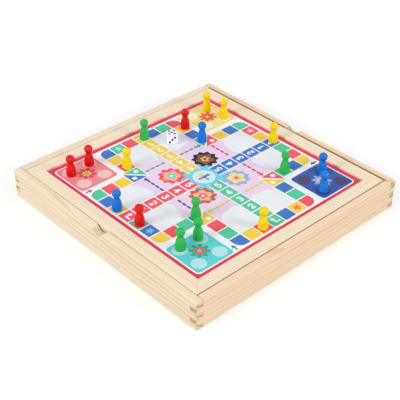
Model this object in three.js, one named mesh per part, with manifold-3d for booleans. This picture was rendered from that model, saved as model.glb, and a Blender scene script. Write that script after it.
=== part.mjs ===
import * as THREE from 'three';
import { mergeVertices } from 'three/addons/utils/BufferGeometryUtils.js';
import { RoundedBoxGeometry } from 'three/addons/geometries/RoundedBoxGeometry.js';
import Module from 'manifold-3d';

const wasm = await Module();
wasm.setup();

// A wooden games box in millimetres, +Z up, its origin under the middle of its base.
// The lid is a framed game board that drops in flush between the finger-jointed walls.

// Box walls
const boxSide = 300;
const boxHeight = 34;
const wallThickness = 9;
const fingerCount = 5;
const cornerRadius = 2;
const arrisRadius = 0.8;

// Scooped finger notches in the left and right walls
const notchDepth = 5.5;
const notchRadius = 10;
const notchShoulderRadius = 3;

// Plywood base, let into rebates under the walls
const baseThickness = 3;
const rebateWidth = 4.5;

// Ledge strips inside the walls, which carry the board
const ledgeThickness = 5;

// Crossed dividers, housed in the ledge strips
const dividerThickness = 4;
const dividerDrop = 1.5;
const housingDepth = 2;

// Game board: a mitred and grooved frame round a printed panel
const boardFit = 0.75;
const railWidth = 16;
const railThickness = 9;
const grooveDepth = 5;
const panelThickness = 3;
const panelFit = 0.25;
const printRecess = 2.5;
const printThickness = 0.25;
const printFit = 0.1;

// Track printed on the board, which says where the pieces stand
const printBorder = 5.5;
const printMargin = 3.5;
const trackShare = 6.75;

// Turned pawns
const pawnHeight = 26;
const pawnFootRadius = 5.1;
const pawnBodyRadius = 5.65;
const pawnBellyHeight = 2.6;
const pawnNeckRadius = 3.1;
const pawnNeckHeight = 16;
const pawnHeadRadius = 4.9;
const pawnShoulderShare = 0.62;
const pawnWaistShare = 0.88;
const pawnJoinShare = 0.86;

// Die with dished pips
const dieSide = 13;
const dieEdgeRadius = 2;
const pipRadius = 1.3;
const pipDepth = 0.5;
const pipSpacing = 3.1;
const dieYaw = THREE.MathUtils.degToRad(-35);

// Clearances
const jointGap = 0.1;
const glueGap = 0.05;
const restGap = 0.05;
const cutOverrun = 2;

// Roundness
const arrisSteps = 3;
const notchSteps = 10;
const pawnSides = 16;
const footSteps = 2;
const bodySteps = 5;
const neckSteps = 1;
const headSteps = 7;
const dieSteps = 2;
const pipSides = 10;
const pipSteps = 2;

// Sizes that follow from these
const boxHalf = boxSide / 2;
const innerHalf = boxHalf - wallThickness;
const fingerHeight = boxHeight / fingerCount;
const baseHalf = innerHalf + rebateWidth - glueGap;
const floorTop = baseThickness + glueGap;
const boardUnderside = boxHeight - railThickness;
const ledgeTop = boardUnderside - restGap;
const boardHalf = innerHalf - boardFit;
const windowHalf = boardHalf - railWidth;
const panelHalf = windowHalf + grooveDepth - panelFit;
const printTop = boxHeight - printRecess;
const panelTop = printTop - printThickness - glueGap;
const standHeight = printTop + restGap;
const cellPitch = (windowHalf - printBorder - printMargin) / trackShare;

// Where each pawn stands, in shares of the track's cell pitch from the middle
const pawnPlaceShares = {
  red: [[-6.25, 5.92], [-4.65, 6.1], [3.18, 5.33], [-6.39, -1.15]],
  yellow: [[-3.01, 4.17], [5.96, 6.08], [6.2, 4.57], [6.46, -0.06], [-1.09, -6.36]],
  green: [[0.17, 6.18], [4.36, -3.08], [-3.4, -2.9], [-4.7, -4.5], [-6.11, -4.51]],
  blue: [[2.87, 3.26], [6.07, -4.81], [4.51, -6.28], [-6.43, 0.96]],
};
const diePlaceShares = [1.28, 4.58];

// Materials
const pine = (color) => new THREE.MeshStandardMaterial({ color, roughness: 0.6, metalness: 0 });
const wallWood = pine(0xecd5ae);
const railWood = pine(0xf1e0c2);
const plywood = pine(0xe6cfa6);
const innerWood = pine(0xe2c79a);
const paper = new THREE.MeshStandardMaterial({ color: 0xf6f3f6, roughness: 0.45, metalness: 0 });
const ivory = new THREE.MeshStandardMaterial({ color: 0xf7f7f5, roughness: 0.25, metalness: 0 });
const lacquer = (color) => new THREE.MeshStandardMaterial({ color, roughness: 0.2, metalness: 0 });
const pawnLacquers = {
  red: lacquer(0xd8120c),
  yellow: lacquer(0xf2cc06),
  green: lacquer(0x21a84a),
  blue: lacquer(0x0f62c8),
};

// Closed geometry to solid and back
function toSolid(geometry) {
  const bare = geometry.clone();
  for (const name of ['normal', 'uv']) {
    bare.deleteAttribute(name);
  }
  const merged = mergeVertices(bare);
  return new wasm.Manifold(new wasm.Mesh({
    numProp: 3,
    vertProperties: new Float32Array(merged.attributes.position.array),
    triVerts: new Uint32Array(merged.index.array),
  }));
}

function toGeometry(solid) {
  const { vertProperties, triVerts } = solid.getMesh();
  const geometry = new THREE.BufferGeometry();
  geometry.setAttribute('position', new THREE.BufferAttribute(vertProperties, 3));
  geometry.setIndex(new THREE.BufferAttribute(triVerts, 1));
  geometry.computeVertexNormals();
  return geometry;
}

// Box-shaped solid between two corners
function block(low, high) {
  const size = high.map((value, i) => value - low[i]);
  const middle = high.map((value, i) => (value + low[i]) / 2);
  return toSolid(new THREE.BoxGeometry(...size).translate(...middle));
}

// Rectangle with its corners rounded, as an outline
function softRectangle(left, bottom, right, top, radius) {
  const outline = new THREE.Shape();
  outline.absarc(right - radius, bottom + radius, radius, -Math.PI / 2, 0, false);
  outline.absarc(right - radius, top - radius, radius, 0, Math.PI / 2, false);
  outline.absarc(left + radius, top - radius, radius, Math.PI / 2, Math.PI, false);
  outline.absarc(left + radius, bottom + radius, radius, Math.PI, 1.5 * Math.PI, false);
  return outline;
}

function extruded(outline, length, curveSegments) {
  return new THREE.ExtrudeGeometry(outline, { depth: length, bevelEnabled: false, curveSegments });
}

// Outline in X and Z, swept along Y about the middle
function alongY(outline, length, curveSegments = arrisSteps) {
  return toSolid(extruded(outline, length, curveSegments).rotateX(Math.PI / 2).translate(0, length / 2, 0));
}

// Outline in Y and Z, swept along X about the middle
function alongX(outline, length, curveSegments = arrisSteps) {
  return toSolid(extruded(outline, length, curveSegments).rotateX(Math.PI / 2).rotateZ(Math.PI / 2)
    .translate(-length / 2, 0, 0));
}

// Plan outline, raised from the floor
function raised(outline, height, curveSegments = arrisSteps) {
  return toSolid(extruded(outline, height, curveSegments));
}

// Notch outline in Y and Z: a scoop between two rounded shoulders
function notchOutline() {
  const reach = notchRadius + notchShoulderRadius;
  const rise = reach - notchDepth;
  const shoulderPlace = Math.sqrt(reach ** 2 - rise ** 2);
  const lean = Math.atan2(rise, shoulderPlace);
  const shoulderMiddle = boxHeight - notchShoulderRadius;
  const outline = new THREE.Shape();
  outline.moveTo(-shoulderPlace, boxHeight + cutOverrun);
  outline.lineTo(-shoulderPlace, boxHeight);
  outline.absarc(-shoulderPlace, shoulderMiddle, notchShoulderRadius, Math.PI / 2, lean, true);
  outline.absarc(0, boxHeight - notchDepth + notchRadius, notchRadius, Math.PI + lean, 2 * Math.PI - lean, false);
  outline.absarc(shoulderPlace, shoulderMiddle, notchShoulderRadius, Math.PI - lean, Math.PI / 2, true);
  outline.lineTo(shoulderPlace, boxHeight + cutOverrun);
  outline.closePath();
  return outline;
}

// The left wall: long grain along Y, with the first, third and fifth fingers at both ends
function sideWall() {
  const section = softRectangle(-boxHalf, 0, -innerHalf, boxHeight, arrisRadius);
  const ends = softRectangle(-boxHalf, 0, boxHalf, boxHeight, arrisRadius);
  const plan = softRectangle(-boxHalf, -boxHalf, boxHalf, boxHalf, cornerRadius);
  let wall = alongY(section, boxSide).intersect(alongX(ends, boxSide)).intersect(raised(plan, boxHeight));
  for (let finger = 1; finger < fingerCount; finger += 2) {
    const bottom = finger * fingerHeight;
    for (const end of [-1, 1]) {
      const inner = end * (innerHalf - jointGap);
      const outer = end * (boxHalf + cutOverrun);
      wall = wall.subtract(block(
        [-boxHalf - cutOverrun, Math.min(inner, outer), bottom],
        [-innerHalf + cutOverrun, Math.max(inner, outer), bottom + fingerHeight],
      ));
    }
  }
  return wall.subtract(baseSeat()).subtract(alongX(notchOutline(), boxSide + cutOverrun, notchSteps));
}

// The front wall: long grain along X, with the second and fourth fingers at both ends
function crossWall() {
  const section = softRectangle(-boxHalf, 0, -innerHalf, boxHeight, arrisRadius);
  const ends = softRectangle(-boxHalf, 0, boxHalf, boxHeight, arrisRadius);
  const plan = softRectangle(-boxHalf, -boxHalf, boxHalf, boxHalf, cornerRadius);
  let wall = alongX(section, boxSide).intersect(alongY(ends, boxSide)).intersect(raised(plan, boxHeight));
  for (let finger = 0; finger < fingerCount; finger += 2) {
    const bottom = finger === 0 ? -cutOverrun : finger * fingerHeight - jointGap;
    const top = finger === fingerCount - 1 ? boxHeight + cutOverrun : (finger + 1) * fingerHeight + jointGap;
    for (const end of [-1, 1]) {
      const inner = end * (innerHalf - jointGap);
      const outer = end * (boxHalf + cutOverrun);
      wall = wall.subtract(block(
        [Math.min(inner, outer), -boxHalf - cutOverrun, bottom],
        [Math.max(inner, outer), -innerHalf + cutOverrun, top],
      ));
    }
  }
  return wall.subtract(baseSeat());
}

// Space that the base panel takes out of the walls
function baseSeat() {
  const reach = baseHalf + glueGap;
  return block([-reach, -reach, -cutOverrun], [reach, reach, floorTop]);
}

function basePanel() {
  return block([-baseHalf, -baseHalf, 0], [baseHalf, baseHalf, baseThickness]);
}

// A ledge strip against the front wall, its middle housed out for a divider
function ledgeStrip(length) {
  const back = -innerHalf + glueGap;
  const face = back + ledgeThickness;
  const housing = dividerThickness / 2 + jointGap;
  const strip = alongX(softRectangle(back, floorTop, face, ledgeTop, arrisRadius), length);
  return strip.subtract(block(
    [-housing, face - housingDepth, -cutOverrun],
    [housing, face + cutOverrun, ledgeTop + cutOverrun],
  ));
}

// A divider along X, cross-lapped at its middle; the slot opens at the top or at the bottom
function divider(slotAtTop) {
  const half = innerHalf - glueGap - ledgeThickness + housingDepth - jointGap;
  const top = ledgeTop - dividerDrop;
  const middle = (floorTop + top) / 2;
  const slot = dividerThickness / 2 + jointGap;
  const board = alongX(
    softRectangle(-dividerThickness / 2, floorTop, dividerThickness / 2, top, arrisRadius),
    2 * half,
  );
  const slotBottom = slotAtTop ? middle - jointGap / 2 : -cutOverrun;
  const slotTop = slotAtTop ? top + cutOverrun : middle + jointGap / 2;
  return board.subtract(block([-slot, -dividerThickness, slotBottom], [slot, dividerThickness, slotTop]));
}

// The board's front rail: grooved for the panel, its ends mitred
function boardRail() {
  const mitre = jointGap / Math.SQRT2;
  const section = softRectangle(-boardHalf, boardUnderside, -windowHalf, boxHeight, arrisRadius);
  const plan = new THREE.Shape([
    new THREE.Vector2(-boardHalf + mitre, -boardHalf),
    new THREE.Vector2(boardHalf - mitre, -boardHalf),
    new THREE.Vector2(windowHalf - mitre, -windowHalf),
    new THREE.Vector2(-windowHalf + mitre, -windowHalf),
  ]);
  const groove = block(
    [-boardHalf, -windowHalf - grooveDepth, panelTop - panelThickness - jointGap],
    [boardHalf, -windowHalf + cutOverrun, panelTop + jointGap],
  );
  return alongX(section, 2 * boardHalf).intersect(raised(plan, boxHeight)).subtract(groove);
}

function boardPanel() {
  return block([-panelHalf, -panelHalf, panelTop - panelThickness], [panelHalf, panelHalf, panelTop]);
}

function boardPrint() {
  const half = windowHalf - printFit;
  return block([-half, -half, printTop - printThickness], [half, half, printTop]);
}

// Pawn profile from the middle of its foot to the top of its head
function pawnProfile() {
  const headMiddle = pawnHeight - pawnHeadRadius;
  const joinAngle = -Math.acos(pawnNeckRadius / pawnHeadRadius) * pawnJoinShare;
  const rise = pawnNeckHeight - pawnBellyHeight;
  const join = new THREE.Vector2(
    pawnHeadRadius * Math.cos(joinAngle),
    headMiddle + pawnHeadRadius * Math.sin(joinAngle),
  );
  const foot = new THREE.QuadraticBezierCurve(
    new THREE.Vector2(pawnFootRadius, 0),
    new THREE.Vector2(pawnBodyRadius, 0),
    new THREE.Vector2(pawnBodyRadius, pawnBellyHeight),
  );
  const body = new THREE.CubicBezierCurve(
    new THREE.Vector2(pawnBodyRadius, pawnBellyHeight),
    new THREE.Vector2(pawnBodyRadius, pawnBellyHeight + pawnShoulderShare * rise),
    new THREE.Vector2(pawnNeckRadius, pawnBellyHeight + pawnWaistShare * rise),
    new THREE.Vector2(pawnNeckRadius, pawnNeckHeight),
  );
  const neck = new THREE.QuadraticBezierCurve(
    new THREE.Vector2(pawnNeckRadius, pawnNeckHeight),
    new THREE.Vector2(pawnNeckRadius, join.y - (join.x - pawnNeckRadius)),
    join,
  );
  const head = new THREE.ArcCurve(0, headMiddle, pawnHeadRadius, joinAngle, Math.PI / 2, false);
  const points = [new THREE.Vector2(0, 0), ...foot.getPoints(footSteps)];
  points.push(...body.getPoints(bodySteps).slice(1));
  points.push(...neck.getPoints(neckSteps).slice(1));
  points.push(...head.getPoints(headSteps).slice(1, -1));
  points.push(new THREE.Vector2(0, pawnHeight));
  return points;
}

function pawnGeometry() {
  return new THREE.LatheGeometry(pawnProfile(), pawnSides).rotateX(Math.PI / 2);
}

// Cutter for one pip: a shallow dish about Z, open upwards
function pipCutter() {
  const dishRadius = (pipRadius ** 2 + pipDepth ** 2) / (2 * pipDepth);
  const sweep = Math.asin(pipRadius / dishRadius);
  const dish = new THREE.ArcCurve(0, dishRadius - pipDepth, dishRadius, -Math.PI / 2, sweep - Math.PI / 2, false);
  const points = [new THREE.Vector2(0, -pipDepth), ...dish.getPoints(pipSteps).slice(1)];
  points.push(new THREE.Vector2(pipRadius, cutOverrun));
  points.push(new THREE.Vector2(0, cutOverrun));
  return new THREE.LatheGeometry(points, pipSides).rotateX(Math.PI / 2);
}

// Pip places on each face, in shares of the pip spacing; opposite faces add up to seven
const pipPlaceShares = {
  1: [[0, 0]],
  2: [[-1, 1], [1, -1]],
  3: [[-1, -1], [0, 0], [1, 1]],
  4: [[-1, -1], [-1, 1], [1, -1], [1, 1]],
  5: [[-1, -1], [-1, 1], [0, 0], [1, -1], [1, 1]],
  6: [[-1, -1], [-1, 0], [-1, 1], [1, -1], [1, 0], [1, 1]],
};
const faceTurns = {
  5: [0, 0],
  2: [Math.PI, 0],
  3: [Math.PI / 2, 0],
  4: [-Math.PI / 2, 0],
  6: [0, Math.PI / 2],
  1: [0, -Math.PI / 2],
};

function dieGeometry() {
  let die = toSolid(new RoundedBoxGeometry(dieSide, dieSide, dieSide, dieSteps, dieEdgeRadius));
  for (const [face, [turnX, turnY]] of Object.entries(faceTurns)) {
    for (const [across, up] of pipPlaceShares[face]) {
      const cutter = pipCutter().translate(across * pipSpacing, up * pipSpacing, dieSide / 2);
      die = die.subtract(toSolid(cutter.rotateX(turnX).rotateY(turnY)));
    }
  }
  return toGeometry(die);
}

function addMesh(parent, name, geometry, material, turn = 0) {
  const mesh = new THREE.Mesh(geometry, material);
  mesh.name = name;
  mesh.rotation.z = turn;
  parent.add(mesh);
  return mesh;
}

const quarter = Math.PI / 2;
const gamesBox = new THREE.Group();

// The box stays still; its walls and strips are turned about the middle
const sideWallGeometry = toGeometry(sideWall());
const crossWallGeometry = toGeometry(crossWall());
addMesh(gamesBox, 'wall_left', sideWallGeometry, wallWood);
addMesh(gamesBox, 'wall_right', sideWallGeometry, wallWood, 2 * quarter);
addMesh(gamesBox, 'wall_front', crossWallGeometry, wallWood);
addMesh(gamesBox, 'wall_back', crossWallGeometry, wallWood, 2 * quarter);
addMesh(gamesBox, 'base_panel', toGeometry(basePanel()), plywood);

const longLedge = toGeometry(ledgeStrip(2 * (innerHalf - glueGap)));
const shortLedge = toGeometry(ledgeStrip(2 * (innerHalf - 2 * glueGap - ledgeThickness)));
addMesh(gamesBox, 'ledge_front', longLedge, innerWood);
addMesh(gamesBox, 'ledge_back', longLedge, innerWood, 2 * quarter);
addMesh(gamesBox, 'ledge_right', shortLedge, innerWood, quarter);
addMesh(gamesBox, 'ledge_left', shortLedge, innerWood, -quarter);
addMesh(gamesBox, 'divider_cross', toGeometry(divider(false)), innerWood);
addMesh(gamesBox, 'divider_long', toGeometry(divider(true)), innerWood, quarter);

// The board lifts straight out, with everything that stands on it
const board = new THREE.Group();
gamesBox.add(board);
const railGeometry = toGeometry(boardRail());
addMesh(board, 'board_rail_front', railGeometry, railWood);
addMesh(board, 'board_rail_right', railGeometry, railWood, quarter);
addMesh(board, 'board_rail_back', railGeometry, railWood, 2 * quarter);
addMesh(board, 'board_rail_left', railGeometry, railWood, -quarter);
addMesh(board, 'board_panel', toGeometry(boardPanel()), plywood);
addMesh(board, 'board_print', toGeometry(boardPrint()), paper);

const pawnShape = pawnGeometry();
for (const [colour, places] of Object.entries(pawnPlaceShares)) {
  places.forEach(([across, up], i) => {
    const pawn = addMesh(board, `pawn_${colour}_${i + 1}`, pawnShape, pawnLacquers[colour]);
    pawn.position.set(across * cellPitch, up * cellPitch, standHeight);
  });
}

const [dieAcross, dieUp] = diePlaceShares;
const die = addMesh(board, 'die', dieGeometry(), ivory, dieYaw);
die.position.set(dieAcross * cellPitch, dieUp * cellPitch, standHeight + dieSide / 2);

export default gamesBox;
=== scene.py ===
import math

import bpy
import numpy as np
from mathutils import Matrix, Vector
from mathutils.geometry import delaunay_2d_cdt


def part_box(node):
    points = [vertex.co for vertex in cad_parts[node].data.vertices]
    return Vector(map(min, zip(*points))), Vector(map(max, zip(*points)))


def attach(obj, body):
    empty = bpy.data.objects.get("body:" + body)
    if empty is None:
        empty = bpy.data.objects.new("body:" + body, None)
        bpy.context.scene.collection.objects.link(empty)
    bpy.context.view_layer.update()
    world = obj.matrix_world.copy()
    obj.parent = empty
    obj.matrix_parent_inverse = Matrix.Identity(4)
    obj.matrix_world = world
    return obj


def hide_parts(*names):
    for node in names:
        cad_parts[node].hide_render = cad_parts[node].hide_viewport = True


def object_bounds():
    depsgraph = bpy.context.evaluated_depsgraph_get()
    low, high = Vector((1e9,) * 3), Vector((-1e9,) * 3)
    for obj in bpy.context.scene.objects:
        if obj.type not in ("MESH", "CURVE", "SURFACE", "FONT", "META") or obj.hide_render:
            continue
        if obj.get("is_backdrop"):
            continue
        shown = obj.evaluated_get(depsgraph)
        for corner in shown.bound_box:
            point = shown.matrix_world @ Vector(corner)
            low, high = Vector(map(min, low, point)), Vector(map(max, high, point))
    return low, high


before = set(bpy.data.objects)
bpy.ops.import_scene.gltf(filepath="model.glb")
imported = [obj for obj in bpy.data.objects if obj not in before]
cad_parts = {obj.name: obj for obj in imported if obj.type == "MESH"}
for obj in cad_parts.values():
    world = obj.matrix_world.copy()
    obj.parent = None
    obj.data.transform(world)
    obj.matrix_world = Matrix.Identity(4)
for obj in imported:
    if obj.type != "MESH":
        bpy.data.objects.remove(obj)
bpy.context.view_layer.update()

# Side walls. Four planed pine boards, glued at the corners with five-finger box joints and sanded flush.
# The grain runs along each board, so every finger shows its darker end grain on the neighbour's face.
MM = 0.001


def light_of(chip):
    """A colour chip's six hex digits as linear light: a share s in the darks is s / 12.92, and above
    them ((s + 0.055) / 1.055) to the power 2.4."""
    share = np.array([int(chip[i : i + 2], 16) for i in (0, 2, 4)]) / 255
    light = np.where(share <= 0.04045, share / 12.92, ((share + 0.055) / 1.055) ** 2.4)
    return (*light.tolist(), 1.0)


class Wire:
    """What one node gives out. Sums written with it add the Math nodes that work them out."""

    def __init__(self, recipe, socket):
        self.recipe = recipe
        self.socket = socket

    def sum(self, operation, first, second):
        return self.recipe.add("Math", {"operation": operation}, {0: first, 1: second})

    def __add__(self, other):
        return self.sum("ADD", self, other)

    def __radd__(self, other):
        return self.sum("ADD", other, self)

    def __sub__(self, other):
        return self.sum("SUBTRACT", self, other)

    def __rsub__(self, other):
        return self.sum("SUBTRACT", other, self)

    def __mul__(self, other):
        return self.sum("MULTIPLY", self, other)

    def __rmul__(self, other):
        return self.sum("MULTIPLY", other, self)

    def __truediv__(self, other):
        return self.sum("DIVIDE", self, other)

    def __pow__(self, other):
        return self.sum("POWER", self, other)

    def __mod__(self, other):
        return self.sum("FLOORED_MODULO", self, other)

    def __abs__(self):
        return self.recipe.add("Math", {"operation": "ABSOLUTE"}, {0: self})

    def rise(self, low, high):
        """0 below low and 1 above high, with a smooth slope between them."""
        slope = {"interpolation_type": "SMOOTHSTEP"}
        return self.recipe.add("MapRange", slope, {"Value": self, "From Min": low, "From Max": high})


class Recipe:
    """The nodes of one finish."""

    def __init__(self, tree):
        self.tree = tree
        tree.nodes.clear()

    def add(self, kind, settings=None, values=None, output=0):
        """Puts in one node: its kind, its settings, then what its sockets hold or are wired to."""
        node = self.tree.nodes.new("ShaderNode" + kind)
        for name, value in (settings or {}).items():
            setattr(node, name, value)
        for socket, value in (values or {}).items():
            if isinstance(value, Wire):
                self.tree.links.new(value.socket, node.inputs[socket])
            else:
                node.inputs[socket].default_value = value
        return Wire(self, node.outputs[output] if node.outputs else None)

    def blend(self, share, first, second, how="MIX"):
        """Two colours mixed by a share."""
        settings = {"data_type": "RGBA", "blend_type": how, "clamp_factor": True}
        return self.add("Mix", settings, {0: share, 6: first, 7: second}, 2)

    def grey(self, level):
        """The same number in all three channels."""
        return self.add("CombineColor", {}, {0: level, 1: level, 2: level})

    def stretched(self, place, scale):
        """A place with each of its three directions scaled by itself."""
        return self.add("VectorMath", {"operation": "MULTIPLY"}, {0: place, 1: scale})

    def cloud(self, place, scale, detail=2.0):
        """Noise from 0 to 1 about a middle of 0.5, finer where the scale is larger."""
        values = {"Vector": self.stretched(place, scale), "Scale": 1.0, "Detail": detail}
        return self.add("TexNoise", {"noise_dimensions": "3D"}, values)

    def coat(self, sockets):
        """Ends the recipe in a Principled shader with these sockets, and gives it to the surface."""
        shader = self.add("BsdfPrincipled", {}, sockets)
        self.add("OutputMaterial", {}, {"Surface": shader})


def finish(name):
    """A new material and its empty recipe."""
    material = bpy.data.materials.new(name)
    material.use_nodes = True
    return material, Recipe(material.node_tree)


# The gap between the board and the walls, along which shade is painted on both edges and through the notch.
wall_inner_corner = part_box("wall_left")[1]
gap_top = wall_inner_corner.z
gap_middle = -(wall_inner_corner.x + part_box("board_rail_left")[0].x) / 2


def pine(
    name, chips, turn, heart, ring_width, figure=0.6, gap_shade=0.0, roughness=0.5, beside_shade=0.0, notch_shade="ffffff"
):
    """Planed pine under clear varnish. Growth rings are cylinders about the tree's heart: the ring number is
    the distance from the heart line over the ring width, and its fraction climbs to a thin dark latewood and
    drops back. chips are the sapwood, latewood, end-grain and end-ring colours, turn lays the grain along x,
    heart is the heart line's (y, z) after that turn, and figure is how strong the rings are on the long
    faces. After figure come, in turn, how dark the painted shade on the edges along the board's gap is,
    the roughness, how strong a brown painted shade on the top beside the gap is, and the colour that
    darkens the notch's hollow as painted shade."""
    material, recipe = finish(name)
    sapwood, latewood, end_wood, end_dark = (light_of(chip) for chip in chips)
    place = recipe.add("TexCoord", {}, {}, "Object")
    turned = recipe.add("Mapping", {"vector_type": "POINT"}, {"Vector": place, "Rotation": turn})
    along, across, up = (recipe.add("SeparateXYZ", {}, {0: turned}, axis) for axis in ("X", "Y", "Z"))

    # Growth rings: sway bends them gently, ripple roughens them, and each ring has a strength of its own.
    sway = recipe.cloud(turned, (8.0, 24.0, 24.0), 1.0) - 0.5
    ripple = recipe.cloud(turned, (20.0, 170.0, 170.0), 2.0) - 0.5
    y, z = across - heart[0], up - heart[1]
    distance = (y * y + z * z) ** 0.5 + sway * (10 * MM) + ripple * (0.9 * MM)
    ring = distance / ring_width
    part = ring % 1.0
    strength = recipe.add("TexWhiteNoise", {"noise_dimensions": "1D"}, {"W": ring - part}) * 0.75 + 0.25
    band = part.rise(0.25, 0.9) * (1 - part.rise(0.93, 1.0))
    line = part.rise(0.74, 0.9) * (1 - part.rise(0.93, 1.0))
    wide_line = part.rise(0.6, 0.8) * (1 - part.rise(0.94, 1.0))

    # Fine grain, drawn out along the board: fibres, streaks, short dark flecks and a slow drift of tone.
    fibre = recipe.cloud(turned, (26.0, 1500.0, 1500.0), 3.0)
    streak = recipe.cloud(turned, (7.0, 420.0, 420.0), 2.0)
    fleck = recipe.cloud(turned, (60.0, 1900.0, 1900.0), 1.0).rise(0.7, 0.8)
    drift = recipe.cloud(turned, (5.0, 16.0, 16.0), 1.0)
    faint = 0.45 + drift.rise(0.35, 0.65) * 0.55
    long_grain = recipe.blend((band * 0.35 + line * 0.65) * strength * faint * figure, sapwood, latewood)
    long_grain = recipe.blend(streak.rise(0.5, 0.8) * (0.35 * figure), long_grain, latewood)
    tone = 1.0 + (fibre - 0.5) * 0.07 + (drift - 0.5) * 0.06 - fleck * 0.06
    long_grain = recipe.blend(1.0, long_grain, recipe.grey(tone), "MULTIPLY")
    rosy = light_of("f6ecec")
    long_grain = recipe.blend(drift.rise(0.5, 0.75) * 0.6, long_grain, rosy, "MULTIPLY")

    # End grain shows on the faces that look along the grain, in the last few millimetres of a board.
    end_from, end_to = 137 * MM, 139 * MM
    pores = recipe.cloud(turned, (1300.0, 1300.0, 1300.0), 2.0)
    end_grain = recipe.blend(wide_line * (0.3 + 0.7 * strength) + (pores - 0.5) * 0.35, end_wood, end_dark)
    facing = recipe.add("TexCoord", {}, {}, "Normal")
    faced = recipe.add("Mapping", {"vector_type": "NORMAL"}, {"Vector": facing, "Rotation": turn})
    facing_end = abs(recipe.add("SeparateXYZ", {}, {0: faced}, "X")).rise(0.45, 0.85)
    on_end = facing_end * abs(along).rise(end_from, end_to)
    colour = recipe.blend(on_end, long_grain, end_grain)

    # Painted shade along the board's gap: dark edges, a brown shade on the top beside them, a darker tint
    # in the notch's hollow, and the dark gap seen through the notch.
    beside_shade_brown, gap_shade_brown, notch_gap_shade = light_of("a06a38"), light_of("703c0c"), light_of("4a2010")
    east, north, level = (recipe.add("SeparateXYZ", {}, {0: place}, axis) for axis in ("X", "Y", "Z"))
    outward = recipe.add("Math", {"operation": "MAXIMUM"}, {0: abs(east), 1: abs(north)})
    gap_shade_band = 1 - abs(outward - gap_middle).rise(0.45 * MM, 0.95 * MM)
    near_top = level.rise(gap_top - 2.2 * MM, gap_top - 1.0 * MM)
    facing_up = recipe.add("SeparateXYZ", {}, {0: facing}, "Z").rise(0.1, 0.4)
    in_notch = facing_up * (1 - level.rise(gap_top - 1.2 * MM, gap_top - 0.7 * MM))
    in_gap = 1 - abs(outward - gap_middle).rise(0.7 * MM, 1.3 * MM)
    beside = 1 - (outward - gap_middle).rise(1.2 * MM, 2.6 * MM)
    # Painted shade: a brown strip on the wall's top beside the gap, where the inner face lies in shade.
    colour = recipe.blend(beside * near_top * beside_shade, colour, beside_shade_brown)
    # Painted shade: the upward faces of the notch's hollow are multiplied by a darker colour.
    colour = recipe.blend(in_notch, colour, recipe.blend(1.0, colour, light_of(notch_shade), "MULTIPLY"))
    # Painted shade: the edges along the gap are darkened to a deep brown.
    colour = recipe.blend(gap_shade_band * near_top * gap_shade, colour, gap_shade_brown)
    # Painted shade: the gap seen through the notch is darkened almost to black-brown.
    colour = recipe.blend(in_gap * in_notch * 0.95, colour, notch_gap_shade)

    height = fibre * 0.5 + line * 0.35 - fleck * 0.6 + pores * on_end
    bump = recipe.add("Bump", {}, {"Strength": 0.3, "Distance": 0.05 * MM, "Height": height})
    rough = roughness + (fibre - 0.5) * 0.14 - line * 0.05 + on_end * 0.2
    recipe.coat({"Base Color": colour, "Roughness": rough, "Specular IOR Level": 0.3, "Normal": bump})
    return material


quarter = math.pi / 2
along_x = (math.radians(0.5), 0.0, math.radians(0.7))
along_y = (math.radians(-0.35), 0.0, quarter + math.radians(0.5))
cream_pine = ("f3e3c8", "d9bf92", "e2cca8", "8c7854")
tan_pine = ("f3dab8", "dcb68a", "d4bc96", "87704c")

# Each wall's chips, turn, heart, ring width, figure, strength of painted shade on the gap's edges, strength
# of painted shade beside the gap, and the notch's painted shade colour, as pine() takes them.
wall_looks = {
    "wall_left": (cream_pine, along_y, (-0.1795, -0.0705), 6.4 * MM, 1.4, 0.0, 0.0, "f0efeb"),
    "wall_back": (cream_pine, along_x, (0.118, -0.086), 7.5 * MM, 0.9, 0.0, 0.0, "ffffff"),
    "wall_front": (tan_pine, along_x, (-0.160, -0.0640), 5.8 * MM, 1.15, 0.5, 0.0, "ffffff"),
    "wall_right": (tan_pine, along_y, (0.170, -0.060), 5.5 * MM, 1.1, 0.45, 0.9, "cdcdcd"),
}


def dress(node, material):
    """A CAD node keeps its shape and takes this material."""
    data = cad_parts[node].data
    data.materials.clear()
    data.materials.append(material)


for wall, (chips, turn, heart, ring_width, figure, gap_shade, beside_shade, notch_shade) in wall_looks.items():
    look = pine(wall + "_pine", chips, turn, heart, ring_width, figure, gap_shade, beside_shade=beside_shade, notch_shade=notch_shade)
    dress(wall, look)

# Base. A thin plywood sheet, let into rebates under the walls and glued there. Its face veneer's grain runs
# from left to right.
plywood_chips = ("eed7ae", "d9b984", "c8a46e", "9c7946")
base_grain = (0.0, math.radians(2), 0.0)
dress("base_panel", pine("base_plywood", plywood_chips, base_grain, (0.3, -0.9), 9 * MM, 0.35))

# Ledge strips and dividers. Narrow planed strips glued inside the walls carry the board, and two thin
# boards, halved across each other in the middle, part the box into four.
strip_chips = ("ead0a3", "d2ae78", "c09c68", "8d6d41")
for strip, turn in (("front", along_x), ("back", along_x), ("left", along_y), ("right", along_y)):
    dress("ledge_" + strip, pine("ledge_pine_" + strip, strip_chips, turn, (0.21, -0.02), 5 * MM))
dress("divider_cross", pine("divider_pine_cross", strip_chips, along_x, (0.03, -0.05), 5 * MM))
dress("divider_long", pine("divider_pine_long", strip_chips, along_y, (0.04, -0.04), 6 * MM))

# Board frame. Four pale rails, mitred at the corners and grooved for the panel, with quiet straight grain.
# They are planed finer than the walls, so they shine a little more.
rail_pine = ("f6e4cb", "e6cda8", "ead6b8", "8c7854")

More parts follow.
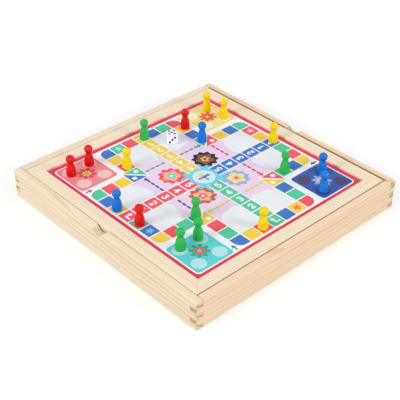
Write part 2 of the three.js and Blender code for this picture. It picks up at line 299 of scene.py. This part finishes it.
# Each rail's turn, heart, ring width, figure and strength of painted shade on the gap's edges.
rail_looks = {
    "front": (along_x, (-0.22, -0.11), 5.0 * MM, 1.6, 0.5),
    "back": (along_x, (0.26, -0.12), 6.0 * MM, 0.9, 0.0),
    "left": (along_y, (-0.23, -0.11), 5.5 * MM, 0.85, 0.0),
    "right": (along_y, (0.25, -0.12), 6.5 * MM, 0.9, 0.45),
}
for side, (turn, heart, ring_width, figure, gap_shade) in rail_looks.items():
    look = pine("rail_pine_" + side, rail_pine, turn, heart, ring_width, figure, gap_shade, roughness=0.46)
    dress("board_rail_" + side, look)

# Board panel. Plywood that lies loose in the rails' grooves, under the print. Only its underside shows, with
# the lid off.
panel_grain = (0.0, math.radians(-2), 0.0)
dress("board_panel", pine("panel_plywood", plywood_chips, panel_grain, (-0.4, 0.8), 11 * MM, 0.35))

# Printed sheet. Coated paper glued to the panel, printed edge to edge in flat inks: a red border, a track
# of coloured squares round four numbered arms, a home panel in each corner, and ornaments in the middle.
sheet_low, sheet_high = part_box("board_print")
sheet_half = sheet_high.x
border_width = 5.4 * MM
pitch = 17.07 * MM
half_cell = 15.5 * MM / 2
outer_row = 6.32 * pitch
sharp_corners = [0.01 * MM] * 4
cell_corners = [0.5 * MM] * 4
bend_radius = 9.5 * MM
inks = {
    "paper": "f8f8fb",
    "border": "e8405a",
    "lilac": "efd6ee",
    "mist": "eef1f7",
    "red": "f65a66",
    "yellow": "f7d24c",
    "blue": "427bc9",
    "green": "56cba1",
    "cyan": "78d3e6",
    "pale blue": "cbeefb",
    "rose": "ee8f97",
    "rose pale": "f6c8c3",
    "straw": "f4e493",
    "straw pale": "f8f3d8",
    "navy": "3560ad",
    "navy dark": "4f4570",
    "teal": "5fd2d4",
    "teal pale": "b4e7ea",
    "orange": "ef7a45",
    "peach": "f9b796",
    "brown": "8c5a4a",
    "black": "2b2528",
    "gold": "efc05c",
    "auburn": "c4694a",
    "sky": "8fb6ea",
    "deep green": "3aa88c",
    "deep yellow": "e2cc5c",
    "deep blue": "3858a4",
    "deep red": "d84a62",
}
ink_names = list(inks)
outlines = []
outline_inks = []


def lay(outline, ink):
    """Prints one closed outline over what lies under it, turned counterclockwise if it isn't."""
    outline = np.asarray(outline, float)
    after = np.roll(outline, -1, 0)
    area = (outline[:, 0] * after[:, 1] - after[:, 0] * outline[:, 1]).sum()
    outlines.append(outline if area > 0 else outline[::-1])
    outline_inks.append(ink_names.index(ink))


def soft_corners(half_across, half_up, radii, steps=8):
    """A rectangle about the middle whose four corners are quarter circles of these radii, from the lower
    left one counterclockwise: corner plus or minus the radius times (cosine, sine) of the turn."""
    sides = ((-1, -1), (1, -1), (1, 1), (-1, 1))
    arcs = []
    for i, ((side, rise), radius) in enumerate(zip(sides, radii)):
        turn = np.linspace(i - 2, i - 1, steps) * quarter
        middle = np.array([side * (half_across - radius), rise * (half_up - radius)])
        arcs.append(middle + radius * np.stack([np.cos(turn), np.sin(turn)], 1))
    return np.concatenate(arcs)


def rosette(radius, petals=1, depth=0.0, turn=0.0, steps=72):
    """A closed curve whose distance from the middle is the radius times (1 plus depth times the cosine of
    petals times the angle)."""
    angle = np.linspace(0, 2 * math.pi, steps, endpoint=False)
    reach = radius * (1 + depth * np.cos(petals * (angle - turn)))
    return np.stack([reach * np.cos(angle), reach * np.sin(angle)], 1)


def star(points, radius, waist, turn=0.0):
    """A closed zigzag whose corners lie by turns at the radius and at the waist's share of it."""
    angle = turn + np.arange(2 * points) * math.pi / points
    reach = np.where(np.arange(2 * points) % 2 == 0, radius, waist * radius)
    return np.stack([reach * np.cos(angle), reach * np.sin(angle)], 1)


def stroke(line, width, steps=7):
    """The outline of a pen line: the line moved half a width to each side, and a half circle round each
    end."""
    line = np.asarray(line, float)
    run = np.gradient(line, axis=0)
    run /= np.linalg.norm(run, axis=1, keepdims=True)
    aside = run[:, ::-1] * (-1, 1) * width / 2
    turn = np.linspace(0, math.pi, steps)[1:-1, None]
    tip = line[-1] - aside[-1] * np.cos(turn) + run[-1] * width / 2 * np.sin(turn)
    tail = line[0] + aside[0] * np.cos(turn) - run[0] * width / 2 * np.sin(turn)
    return np.concatenate([line - aside, tip, (line + aside)[::-1], tail])


def bow(middle, radius, start, end):
    """Twelve points on a circle from one angle to another, in degrees."""
    angle = np.radians(np.linspace(start, end, 12))
    return np.array(middle) + radius * np.stack([np.cos(angle), np.sin(angle)], 1)


# The figures are pen lines in a box one high and about 0.6 wide, with the middle at (0, 0).
figure_lines = {
    1: [[(-0.16, 0.30), (0.06, 0.42)], [(0.06, 0.42), (0.06, -0.42)]],
    2: [bow((0.0, 0.18), 0.24, 165, -38), [(0.19, 0.03), (-0.22, -0.42)], [(-0.22, -0.42), (0.25, -0.42)]],
    3: [bow((0.0, 0.21), 0.21, 150, -90), bow((0.0, -0.19), 0.23, 90, -150)],
    4: [[(0.12, -0.42), (0.12, 0.42)], [(0.12, 0.42), (-0.27, -0.17)], [(-0.27, -0.17), (0.29, -0.17)]],
    5: [[(0.21, 0.42), (-0.17, 0.42)], [(-0.17, 0.42), (-0.20, 0.06)], bow((-0.01, -0.15), 0.27, 135, -145)],
}
figure_height = 9.0 * MM
pen_share = 0.22

# Each arm is drawn as the one that points away from the viewer, up the sheet, and then turned to its side.
track_cycle = ("red", "yellow", "blue", "green")
arms = {
    "back": {"turn": 0, "start": 0, "lead": "green", "home": "yellow"},
    "right": {"turn": -1, "start": 1, "lead": "red", "home": "blue"},
    "front": {"turn": -2, "start": 2, "lead": "yellow", "home": "green"},
    "left": {"turn": -3, "start": 3, "lead": "blue", "home": "red"},
}
home_inks = {
    "red": ("rose", "red", "rose pale", "deep red", "gold"),
    "yellow": ("straw", "yellow", "straw pale", "orange", "red"),
    "blue": ("navy", "deep blue", "navy dark", "sky", "peach"),
    "green": ("teal", "cyan", "teal pale", "deep green", "red"),
}
motif_inks = {"green": "teal pale", "blue": "sky", "red": "rose pale", "yellow": "orange"}
bloom_inks = {
    "red": ("red", "peach", "teal", "paper"),
    "yellow": ("black", "brown", "gold", "black"),
    "blue": ("sky", "straw", "peach", "deep red"),
    "green": ("auburn", "peach", "red", "paper"),
}


def turning(angle):
    """What carries (x, y) round to (x cos a - y sin a, x sin a + y cos a)."""
    cosine, sine = math.cos(angle), math.sin(angle)
    return np.array([[cosine, sine], [-sine, cosine]])


def turned_to(arm, outline, across=0.0, up=0.0):
    """An outline moved by (across, up) on the upright arm, and carried round with the arm."""
    moved = np.asarray(outline, float) + (across, up)
    return moved @ turning(arms[arm]["turn"] * quarter)


def arrow_head(x, y, size, angle):
    """A triangle whose tip is at (x, y) and looks along the angle, in degrees."""
    half_width = 0.62 * size
    shape = np.array([(0, 0), (-size, half_width), (-size, -half_width)])
    return shape @ turning(math.radians(angle)) + (x, y)


# Border, paper, a wide lilac round with eight soft lobes, and pale clouds between the arms.
field_half = sheet_half - border_width
field_corners = [5 * MM] * 4
lilac_radius = 80 * MM
cloud = np.array([(0.5, 5.83), (2.5, 5.83), (2.5, 4.25), (1.95, 3.72), (0.9, 3.55), (0.5, 3.85)])
lay(soft_corners(sheet_half, sheet_half, sharp_corners, 2), "border")
lay(soft_corners(field_half, field_half, field_corners), "paper")
lay(rosette(lilac_radius, 8, 0.035, math.pi / 8, 96), "lilac")
for arm in arms:
    for side in (-1, 1):
        lay(turned_to(arm, cloud * (side * pitch, pitch)), "mist")

# The middle's ground, with one large flower in each quarter.
ground_radius = 25 * MM
bloom_away = 25.5 * MM
blooms = (
    rosette(14.2 * MM, 10, 0.1, 0.0, 100),
    rosette(9.6 * MM, 5, 0.16, quarter, 80),
    rosette(4.6 * MM, 5, 0.2, -quarter, 60),
    rosette(1.9 * MM, steps=24),
)
lay(rosette(ground_radius, 4, 0.28, math.pi / 4, 96), "cyan")
for arm, look in arms.items():
    for bloom, bloom_ink in zip(blooms, bloom_inks[look["home"]]):
        lay(turned_to(arm, bloom, bloom_away, bloom_away), bloom_ink)

# Track and arms. Rows and columns count in pitches from the middle, on the upright arm.
half_backing = 0.53 * pitch
dash_starts = (-2.36, -1.93, -1.5, -1.07, 0.64, 1.07, 1.5, 1.93)
home = 5.4 * pitch
spot_away = 14 * MM
home_rim = soft_corners(25 * MM, 25 * MM, [4.5 * MM] * 4)
home_ground = soft_corners(23.8 * MM, 23.8 * MM, [3.5 * MM] * 4)
home_spot = rosette(8.2 * MM, steps=48)
home_petals = rosette(9.5 * MM, 8, 0.22)
home_eye = rosette(5.2 * MM, 8, 0.2, math.pi / 8)
home_dot = rosette(2.2 * MM, steps=28)
for arm, look in arms.items():
    ink = [track_cycle[(look["start"] + i) % 4] for i in range(13)]
    rows = [(-3, 4.32), (-3, 5.32)] + [(k, 6.32) for k in range(-3, 4)] + [(3, 5.32), (3, 4.32)]
    lane = [(0, 1.32 + i) for i in range(5)]
    for column, row in rows + lane:
        backing = soft_corners(half_backing, half_backing, sharp_corners, 2)
        lay(turned_to(arm, backing, column * pitch, row * pitch), "paper")
    for i, (column, row) in enumerate(rows):
        radii = list(cell_corners)
        if (column, row) in ((-3, 6.32), (3, 6.32)):
            outer_corner = 2 if column > 0 else 3
            radii[outer_corner] = bend_radius
        square = soft_corners(half_cell, half_cell, radii)
        lay(turned_to(arm, square, column * pitch, row * pitch), ink[i])
    lane_ink = ink[5]
    for i, (column, row) in enumerate(lane):
        square = soft_corners(half_cell, half_cell, cell_corners)
        lay(turned_to(arm, square, column * pitch, row * pitch), lane_ink)
        for line in figure_lines[5 - i]:
            pen = stroke(-np.asarray(line) * figure_height, pen_share * figure_height)
            lay(turned_to(arm, pen, 0, row * pitch), "paper")

    # The way in: a bent arrow from the track into the arm.
    for gate in ([(-0.27, 0.16), (0.05, 0.16)], [(0.05, 0.16), (0.05, -0.12)]):
        lay(turned_to(arm, stroke(np.array(gate) * pitch, 0.14 * pitch), 0, outer_row), "paper")
    lay(turned_to(arm, arrow_head(0.05 * pitch, -0.38 * pitch, 0.27 * pitch, -90), 0, outer_row), "paper")

    # A plain star on one square of each side.
    lay(turned_to(arm, star(5, 0.33 * pitch, 0.45, quarter), -2 * pitch, outer_row), motif_inks[ink[3]])

    # The square where two sides meet is halved towards the middle of the sheet.
    corner = 3.16 * pitch
    reach = 0.61 * pitch
    gap = 0.05 * pitch
    backing = soft_corners(0.66 * pitch, 0.66 * pitch, sharp_corners, 2)
    lay(turned_to(arm, backing, corner, corner), "paper")
    upper = np.array([(-reach, -reach + 2 * gap), (reach - 2 * gap, reach), (-reach, reach)])
    lower = np.array([(-reach + 2 * gap, -reach), (reach, -reach), (reach, reach - 2 * gap)])
    lay(turned_to(arm, upper, corner, corner), ink[11])
    lay(turned_to(arm, lower, corner, corner), ink[12])
    flower = rosette(0.17 * pitch, 6, 0.15, 0, 36)
    for aside in (-0.28 * pitch, 0.28 * pitch):
        lay(turned_to(arm, flower, corner + aside, corner - aside), "paper")

    # Dashes that show the way round, and a small arrow out of each home.
    for start in dash_starts:
        dash = np.array([(start, 2.98), (start + 0.22, 2.98)]) * pitch
        lay(turned_to(arm, stroke(dash, 0.16 * pitch, 5)), "deep " + look["lead"])
    lay(turned_to(arm, arrow_head(2.52 * pitch, 2.98 * pitch, 0.3 * pitch, 0)), "deep " + look["lead"])
    way_out = np.array([(3.68, 6.76), (3.68, 6.5)]) * pitch
    lay(turned_to(arm, stroke(way_out, 0.13 * pitch, 5)), "deep " + look["home"])
    lay(turned_to(arm, arrow_head(3.68 * pitch, 6.24 * pitch, 0.3 * pitch, -90)), "deep " + look["home"])

    # Home panel: a rim, four places for pawns and a flower between them.
    ground, rim, place_ink, petal_ink, eye_ink = home_inks[look["home"]]
    lay(turned_to(arm, home_rim, home, home), rim)
    lay(turned_to(arm, home_ground, home, home), ground)
    for x in (home - spot_away, home + spot_away):
        for y in (home - spot_away, home + spot_away):
            lay(turned_to(arm, home_spot, x, y), place_ink)
    lay(turned_to(arm, home_petals, home, home), petal_ink)
    lay(turned_to(arm, home_eye, home, home), eye_ink)
    lay(turned_to(arm, home_dot, home, home), ground)

# The middle disc, over the arms' inner ends: a ring, a well and a cross of four petals.
disc_petal = rosette(2.6 * MM, 2, 0.45, quarter, 40)
petal_away = 4.4 * MM
lay(rosette(17 * MM, steps=80), "cyan")
lay(rosette(12.6 * MM, steps=72), "paper")
lay(rosette(11.4 * MM, steps=72), "pale blue")
for arm, look in arms.items():
    lay(turned_to(arm, disc_petal, 0, petal_away), look["home"])
lay(rosette(1.6 * MM, steps=24), "deep blue")


def printed_sheet(low, high):
    """The sheet as one closed body. Its top is cut along every outline into triangles, and each takes the
    ink of the last outline laid over it; the underside is the same net turned over."""
    corners = np.concatenate(outlines)
    ends = np.cumsum([len(outline) for outline in outlines])
    rings = [list(range(end - len(outline), end)) for outline, end in zip(outlines, ends)]
    places = [Vector(corner) for corner in corners.tolist()]
    points, _, faces, _, _, sources = delaunay_2d_cdt(places, [], rings, 1, 1e-7)
    flat = np.array([tuple(p) for p in points])
    net = np.array([tuple(f) for f in faces])
    ink = np.array([outline_inks[max(source)] if source else 0 for source in sources])
    count = len(flat)
    top = np.column_stack([flat, np.full(count, high)])
    bottom = np.column_stack([flat, np.full(count, low)])
    edges = np.concatenate([net[:, [0, 1]], net[:, [1, 2]], net[:, [2, 0]]])
    keys = np.sort(edges, 1)
    _, first, uses = np.unique(keys, axis=0, return_index=True, return_counts=True)
    rim = edges[first[uses == 1]]
    sides = np.concatenate([
        np.column_stack([rim[:, 1], rim[:, 0], rim[:, 0] + count]),
        np.column_stack([rim[:, 1], rim[:, 0] + count, rim[:, 1] + count]),
    ])
    triangles = np.concatenate([net, net[:, ::-1] + count, sides])
    shade = np.concatenate([ink, np.zeros(len(triangles) - len(net), int)])
    return np.concatenate([top, bottom]), triangles, shade


def body_of_faces(name, corners, face_groups, smooth=False):
    """A mesh object at the origin, from an array of corners and one array of faces for each face kind."""
    mesh = bpy.data.meshes.new(name)
    mesh.from_pydata(corners.tolist(), [], [face for group in face_groups for face in group.tolist()])
    mesh.polygons.foreach_set("use_smooth", np.full(len(mesh.polygons), smooth))
    mesh.update()
    body = bpy.data.objects.new(name, mesh)
    bpy.context.scene.collection.objects.link(body)
    return body


sheet_points, sheet_faces, sheet_inks = printed_sheet(sheet_low.z, sheet_high.z)
sheet = body_of_faces("printed_sheet", sheet_points, [sheet_faces])
palette = np.array([light_of(chip) for chip in inks.values()], np.float32)
ink_layer = sheet.data.color_attributes.new("ink", "FLOAT_COLOR", "CORNER")
ink_layer.data.foreach_set("color", np.repeat(palette[sheet_inks], 3, axis=0).ravel())

coated_paper, recipe = finish("printed_paper")
place = recipe.add("TexCoord", {}, {}, "Object")
ink = recipe.add("VertexColor", {"layer_name": "ink"})
pulp = recipe.cloud(place, (900.0, 900.0, 900.0), 2.0)
wash = recipe.cloud(place, (35.0, 35.0, 35.0), 1.0)
tone = recipe.grey(0.985 + (pulp - 0.5) * 0.05 + (wash - 0.5) * 0.03)
ripple = recipe.cloud(place, (260.0, 260.0, 260.0), 2.0) + pulp * 0.3
bump = recipe.add("Bump", {}, {"Strength": 0.2, "Distance": 0.03 * MM, "Height": ripple})
recipe.coat({
    "Base Color": recipe.blend(1.0, ink, tone, "MULTIPLY"),
    "Roughness": 0.42 + (wash - 0.5) * 0.1,
    "Specular IOR Level": 0.15,
    "Normal": bump,
})
sheet.data.materials.append(coated_paper)
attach(sheet, "board")
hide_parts("board_print")

# Pawns. Each is turned from one piece of beech, round-headed with a waist and a full skirt, and dipped in
# gloss lacquer, through which the turning tool's rings can just be seen.
pawn_sides = 56


def drawn_curve(points, steps):
    """A curve from the first point to the last, drawn towards those between: each pair of neighbours is
    blended by the share, (1 - share) times one plus share times the next, until one point is left."""
    share = np.linspace(0, 1, steps)[:, None]
    level = [np.array(point, float) for point in points]
    while len(level) > 1:
        level = [(1 - share) * first + share * second for first, second in zip(level, level[1:])]
    return level[0]


def pawn_profile(height):
    """(radius, height) from the middle of the foot to the top of the head: a rounded foot, a skirt that
    narrows to the waist, a fillet, and an arc of the head's circle."""
    foot, skirt, waist, head = 5.1 * MM, 5.65 * MM, 3.1 * MM, 4.9 * MM
    belly, waist_height, head_middle = 2.6 * MM, 16 * MM, height - head
    rise = waist_height - belly
    shoulder, neck = belly + 0.62 * rise, belly + 0.88 * rise
    join = -0.86 * math.acos(waist / head)
    joined = (head * math.cos(join), head_middle + head * math.sin(join))
    turn = np.linspace(join, quarter, 34)
    return np.concatenate([
        [(0, 0), (0.5 * foot, 0), (0.97 * foot, 0)],
        drawn_curve([(foot, 0.1 * MM), (skirt, 0.5 * MM), (skirt, belly)], 10),
        drawn_curve([(skirt, belly), (skirt, shoulder), (waist, neck), (waist, waist_height)], 30)[1:],
        drawn_curve([(waist, waist_height), (waist, joined[1] - (joined[0] - waist)), joined], 8)[1:],
        np.column_stack([head * np.cos(turn), head_middle + head * np.sin(turn)])[1:-1],
        [(0, height)],
    ])


def turned_body(name, profile, middle, sides):
    """The profile carried round an upright line through the middle: a point (r, h) becomes
    (x + r cos a, y + r sin a, z + h). Each end closes in one point."""
    angle = np.linspace(0, 2 * math.pi, sides, endpoint=False)
    radius, height = profile[1:-1, 0, None], profile[1:-1, 1, None]
    ring = np.stack([radius * np.cos(angle), radius * np.sin(angle), height + 0 * angle], -1).reshape(-1, 3)
    points = np.concatenate([ring, [(0, 0, profile[0, 1])], [(0, 0, profile[-1, 1])]]) + middle
    rows = len(profile) - 2
    first = np.arange(rows * sides).reshape(rows, sides)
    after = np.roll(first, -1, 1)
    walls = np.stack([first[:-1], after[:-1], after[1:], first[1:]], -1).reshape(-1, 4)
    foot, crown = rows * sides, rows * sides + 1
    caps = np.concatenate([
        np.stack([after[0], first[0], np.full(sides, foot)], -1),
        np.stack([first[-1], after[-1], np.full(sides, crown)], -1),
    ])
    body = body_of_faces(name, points, [walls, caps], smooth=True)
    body.data.set_sharp_from_angle(angle=math.radians(40))
    return body


pawn_chips = {"red": "dc0202", "yellow": "f8d600", "green": "2ab854", "blue": "0074da"}
for colour, chip in pawn_chips.items():
    lacquer, recipe = finish("lacquer_" + colour)
    place = recipe.add("TexCoord", {}, {}, "Object")
    base = light_of(chip)
    deep = tuple(0.78 * level for level in base[:3]) + (1.0,)
    pool = recipe.cloud(place, (140.0, 140.0, 140.0), 2.0)
    rings = recipe.cloud(place, (3.0, 3.0, 1300.0), 1.0)
    skin = recipe.cloud(place, (380.0, 380.0, 380.0), 1.0)
    bump = recipe.add("Bump", {}, {"Strength": 0.15, "Distance": 0.04 * MM, "Height": rings + skin * 0.6})
    recipe.coat({
        "Base Color": recipe.blend(pool.rise(0.35, 0.8) * 0.22, base, deep),
        "Roughness": 0.3 + (skin - 0.5) * 0.12,
        "Specular IOR Level": 0.0,
        "Coat Weight": 0.6,
        "Coat Roughness": 0.04,
        "Normal": bump,
    })
    for node in [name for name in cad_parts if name.startswith("pawn_" + colour)]:
        low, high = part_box(node)
        stand = ((low.x + high.x) / 2, (low.y + high.y) / 2, low.z)
        pawn = turned_body(node + "_turned", pawn_profile(high.z - low.z), stand, pawn_sides)
        pawn.data.materials.append(lacquer)
        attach(pawn, node + "_piece")
        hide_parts(node)

# Die. Moulded in white plastic with rounded edges, and with dished pips filled in blue.
die_low, die_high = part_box("die")
die_half = (die_high.z - die_low.z) / 2
die_middle = np.array((die_low + die_high) / 2)
die_round = 2.0 * MM
die_steps = 72
die_yaw = math.radians(-35)
pip_radius = 1.4 * MM
pip_depth = 0.5 * MM
pip_step = 3.0 * MM
pip_places = {
    1: [(0, 0)],
    2: [(-1, 1), (1, -1)],
    3: [(-1, -1), (0, 0), (1, 1)],
    4: [(-1, -1), (-1, 1), (1, -1), (1, 1)],
    5: [(-1, -1), (-1, 1), (0, 0), (1, -1), (1, 1)],
    6: [(-1, -1), (-1, 0), (-1, 1), (1, -1), (1, 0), (1, 1)],
}
face_axes = {
    5: ((1, 0, 0), (0, 1, 0)),
    2: ((1, 0, 0), (0, -1, 0)),
    3: ((1, 0, 0), (0, 0, 1)),
    4: ((-1, 0, 0), (0, 0, 1)),
    6: ((0, 1, 0), (0, 0, 1)),
    1: ((0, -1, 0), (0, 0, 1)),
}


def die_face(right, up, pips):
    """One face as a grid over (s, t) from -1 to 1. A point of the cube is pulled back to the inner box and
    pushed out by the edge radius along its own direction, then sunk into the dish of the nearest pip."""
    right, up = np.array(right, float), np.array(up, float)
    out = np.cross(right, up)
    s, t = np.meshgrid(np.linspace(-1, 1, die_steps), np.linspace(-1, 1, die_steps), indexing="ij")
    cube = (s[..., None] * right + t[..., None] * up + out) * die_half
    inner = np.clip(cube, -(die_half - die_round), die_half - die_round)
    lean = cube - inner
    rounded = inner + die_round * lean / np.linalg.norm(lean, axis=-1, keepdims=True)
    spots = np.array(pips) * pip_step
    flat = np.stack([rounded @ right, rounded @ up], -1)
    away = np.linalg.norm(flat[:, :, None] - spots, axis=-1).min(-1)
    dish = (pip_radius**2 + pip_depth**2) / (2 * pip_depth)
    sink = np.where(away < pip_radius, np.sqrt(np.clip(dish**2 - away**2, 0, None)) - (dish - pip_depth), 0)
    return (rounded - sink[..., None] * out).reshape(-1, 3), (away - pip_radius).ravel()


faces = [die_face(*face_axes[number], pip_places[number]) for number in face_axes]
one = np.arange(die_steps**2).reshape(die_steps, die_steps)
patch = np.stack([one[:-1, :-1], one[1:, :-1], one[1:, 1:], one[:-1, 1:]], -1).reshape(-1, 4)
die_points = np.concatenate([points for points, _ in faces])
cosine, sine = math.cos(die_yaw), math.sin(die_yaw)
die_points = die_points @ np.array([[cosine, sine, 0], [-sine, cosine, 0], [0, 0, 1]]) + die_middle
die_faces = np.concatenate([patch + i * die_steps**2 for i in range(len(faces))])

# The faces meet in equal points, which are joined so that the body closes.
same_point = 0.001 * MM
keys = np.round(die_points / same_point).astype(int)
_, kept, new_index = np.unique(keys, axis=0, return_index=True, return_inverse=True)
die_faces = new_index.ravel()[die_faces]
die = body_of_faces("die_moulded", die_points[kept], [die_faces], smooth=True)
rim_distance = np.concatenate([distance for _, distance in faces])[kept]
rim_layer = die.data.attributes.new("pip_rim", "FLOAT", "POINT")
rim_layer.data.foreach_set("value", (rim_distance / MM).astype(np.float32))

plastic, recipe = finish("die_plastic")
place = recipe.add("TexCoord", {}, {}, "Object")
rim = recipe.add("Attribute", {"attribute_name": "pip_rim"}, {}, "Fac")
inside = 1 - rim.rise(0.0, 0.08)
mottle = recipe.cloud(place, (300.0, 300.0, 300.0), 2.0)
white = recipe.blend(mottle, light_of("f5f6fd"), light_of("fbfbff"))
pip_blue = recipe.blend(mottle, light_of("040c50"), light_of("0a1a6c"))
bump = recipe.add("Bump", {}, {"Strength": 0.15, "Distance": 0.02 * MM, "Height": mottle})
recipe.coat({
    "Base Color": recipe.blend(inside, white, pip_blue),
    "Roughness": 0.22 + inside * 0.15 + (mottle - 0.5) * 0.08,
    "Specular IOR Level": 0.2,
    "Normal": bump,
})
die.data.materials.append(plastic)
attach(die, "die_piece")
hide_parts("die")

# Table top and light. A seamless white table under a white tent, with a soft lamp on the left and another
# on the right, as small goods are photographed. The table lies a hair below the box, so the faces don't mix.
table_half = 3.0
table_drop = 0.05 * MM
table_corners = np.array([(-1, -1, 0), (1, -1, 0), (1, 1, 0), (-1, 1, 0)]) * table_half - (0, 0, table_drop)
table = body_of_faces("table_top", table_corners, [np.array([(0, 1, 2, 3)])])


def looked_at(recipe):
    """1 for a ray from the camera, off a gloss or through glass, and 0 for the rays that light things."""
    ways = ("Is Camera Ray", "Is Glossy Ray", "Is Transmission Ray")
    camera, gloss, glass = (recipe.add("LightPath", {}, {}, way) for way in ways)
    return recipe.add("Math", {"operation": "ADD", "use_clamp": True}, {0: camera, 1: gloss + glass})


table_tone = 0.72
seen_lift = 0.2
seen_glow = (0.17, 0.17, 0.185)
table_white, recipe = finish("table_white")
seen = looked_at(recipe)
recipe.coat({
    "Base Color": recipe.grey(table_tone + seen * seen_lift),
    "Roughness": 0.9,
    "Specular IOR Level": 0.0,
    "Emission Color": recipe.add("CombineColor", {}, {i: seen * seen_glow[i] for i in range(3)}),
    "Emission Strength": 1.0,
})
table.data.materials.append(table_white)
table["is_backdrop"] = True

world = bpy.data.worlds.new("white_tent")
world.use_nodes = True
bpy.context.scene.world = world
recipe = Recipe(world.node_tree)
tent_level = 0.7
white = tent_level + looked_at(recipe) * (1 - tent_level)
sky = recipe.add("Background", {}, {"Color": (1, 1, 1, 1), "Strength": white})
recipe.add("OutputWorld", {}, {"Surface": sky})


def lamp(name, direction, distance, side, watts):
    """A square soft lamp that faces the middle of the box from a direction."""
    data = bpy.data.lights.new(name, "AREA")
    data.shape = "SQUARE"
    data.size = side
    data.energy = watts
    holder = bpy.data.objects.new(name, data)
    away = Vector(direction).normalized()
    holder.location = away * distance
    holder.rotation_euler = away.to_track_quat("Z", "Y").to_euler()
    bpy.context.scene.collection.objects.link(holder)


lamp("lamp_left", (-0.855, 0.13, 0.50), distance=3.0, side=0.9, watts=30.0)
lamp("lamp_right", (0.33, -0.845, 0.42), distance=3.0, side=1.0, watts=27.5)

# Camera. It stands where the photograph was taken from: about 1.04 m from the middle of the box's underside
# and 36 degrees above it, with the corner between the left and front walls nearest.
camera = bpy.data.objects.new("camera", bpy.data.cameras.new("camera"))
camera.location = (-0.58203, -0.60974, 0.60791)
camera.rotation_euler = [math.radians(angle) for angle in (54.187, -0.608, -42.955)]
camera.data.sensor_width = 36.0
camera.data.lens = 82.849
camera.data.clip_start, camera.data.clip_end = 0.01, 20.0
bpy.context.scene.collection.objects.link(camera)
bpy.context.scene.camera = camera
bpy.context.scene.view_settings.view_transform = "Standard"

low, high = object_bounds()
